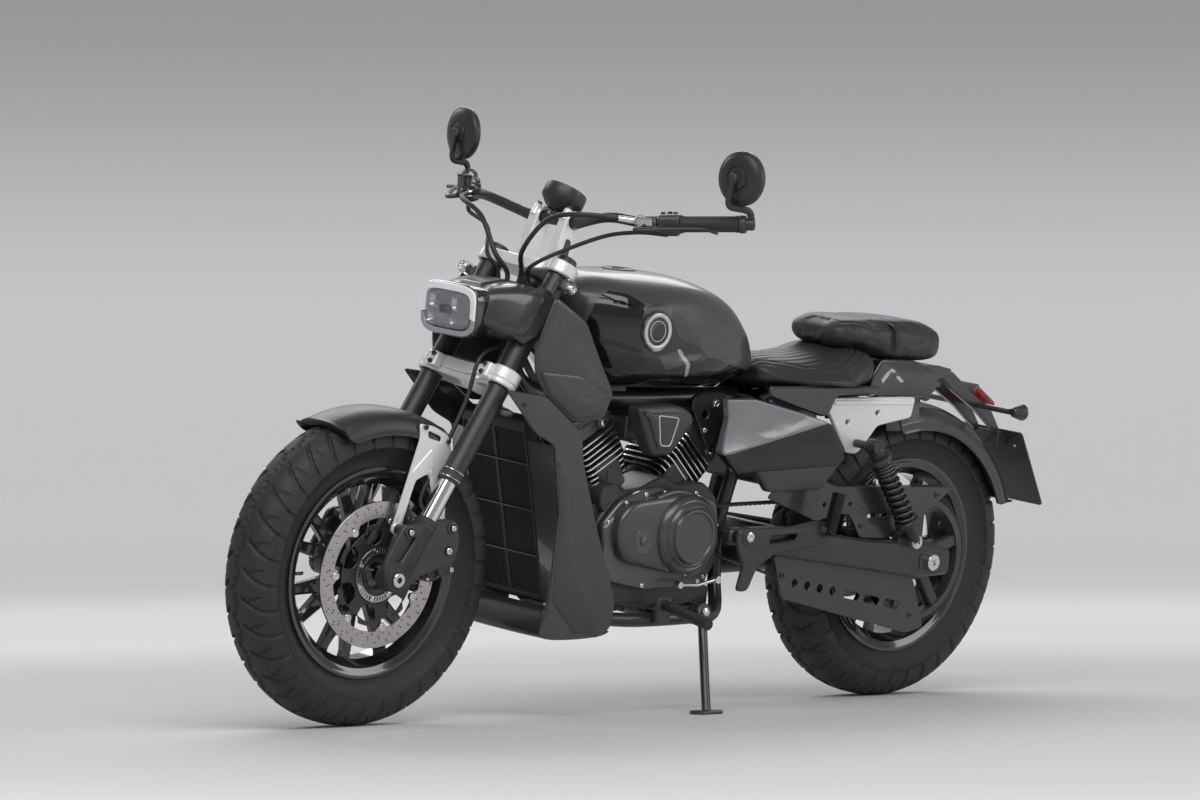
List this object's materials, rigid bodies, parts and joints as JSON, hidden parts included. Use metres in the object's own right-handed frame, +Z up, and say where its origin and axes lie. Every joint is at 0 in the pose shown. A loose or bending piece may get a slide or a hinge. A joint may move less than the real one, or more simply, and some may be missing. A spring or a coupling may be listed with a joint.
{
  "type": "cruiser motorcycle",
  "caption": "V-twin cruiser motorcycle with belt drive, forked cast wheels, rectangular headlight, wide bars, low seat and pillion pad, parked leaning on its side stand",
  "frame": {"origin": "centre of the footprint box on the ground, under the leaning machine", "axes": "+X forward, +Y to the rider's left, +Z up"},
  "size_m": [2.2585, 0.965, 1.2891],
  "materials": {
    "tyre": "matt black rubber",
    "black_paint": "gloss black enamel",
    "satin_black": "satin black coating",
    "white_cast": "silver-white painted casting",
    "bare_metal": "bare brushed steel",
    "engine_black": "satin black engine enamel",
    "cover_grey": "dark grey painted covers",
    "body_grey": "matt dark grey paint over gloss black",
    "black_plastic": "moulded black plastic",
    "vinyl": "black grained seat vinyl",
    "lamp": "clear lens over a reflector",
    "red_lens": "red lens",
    "belt_rubber": "black toothed rubber",
    "exhaust_black": "heat-resistant satin black"
  },
  "bodies": {
    "chassis": {"main_frame": "satin_black", "subframe": "satin_black", "swingarm": "satin_black", "crankcase": "engine_black", "engine_covers": "cover_grey", "cylinders": "engine_black", "intake_covers": "black_plastic", "radiator": "satin_black", "radiator_cowl": "black_plastic", "side_shrouds": "black_plastic", "fuel_tank": "body_grey", "rider_seat": "vinyl", "pillion_seat": "vinyl", "tail_cowl": "black_paint", "fender_brackets": "white_cast", "rear_shocks": "satin_black", "side_covers": "body_grey", "rear_axle": "bare_metal", "drive_belt": "belt_rubber", "belt_guards": "black_plastic", "rear_fender": "black_plastic", "tail_lamp": "red_lens", "plate_holder": "black_plastic", "exhaust": "exhaust_black", "foot_pegs": "satin_black", "rear_caliper": "satin_black"},
    "steering": {"front_axle": "bare_metal", "fork_legs": "satin_black", "lower_clamp": "white_cast", "upper_clamp": "white_cast", "handlebar": "satin_black", "hand_controls": "black_plastic", "mirrors": "black_plastic", "headlight": "lamp", "headlight_cowl": "black_paint", "instrument": "black_plastic", "front_fender": "satin_black", "fender_braces": "white_cast", "front_caliper": "satin_black"},
    "front_wheel_set": {"front_tyre": "tyre", "front_wheel": "black_paint", "front_brake_disc": "bare_metal"},
    "rear_wheel_set": {"rear_tyre": "tyre", "rear_wheel": "black_paint", "rear_pulley": "satin_black", "rear_brake_disc": "bare_metal"},
    "side_stand": {"side_stand": "satin_black"}
  },
  "joints": [
    {"name": "steering_head", "type": "hinge", "parent": "chassis", "child": "steering", "pos_m": [0.47772, -0.05686, 0.7697], "axis": [-0.5075, 0.1199, 0.8532], "range_deg": [-36, 36]},
    {"name": "front_wheel_spin", "type": "hinge", "parent": "steering", "child": "front_wheel_set", "pos_m": [0.8075, -0.12025, 0.31867], "axis": [0, 0.9903, -0.1392], "continuous": true},
    {"name": "rear_wheel_spin", "type": "hinge", "parent": "chassis", "child": "rear_wheel_set", "pos_m": [-0.7225, -0.11983, 0.32164], "axis": [0, 0.9903, -0.1392], "continuous": true},
    {"name": "side_stand_fold", "type": "hinge", "parent": "chassis", "child": "side_stand", "pos_m": [-0.0355, 0.01407, 0.21093], "axis": [0, 0.9986, 0.0536], "range_deg": [0, 95]}
  ]
}
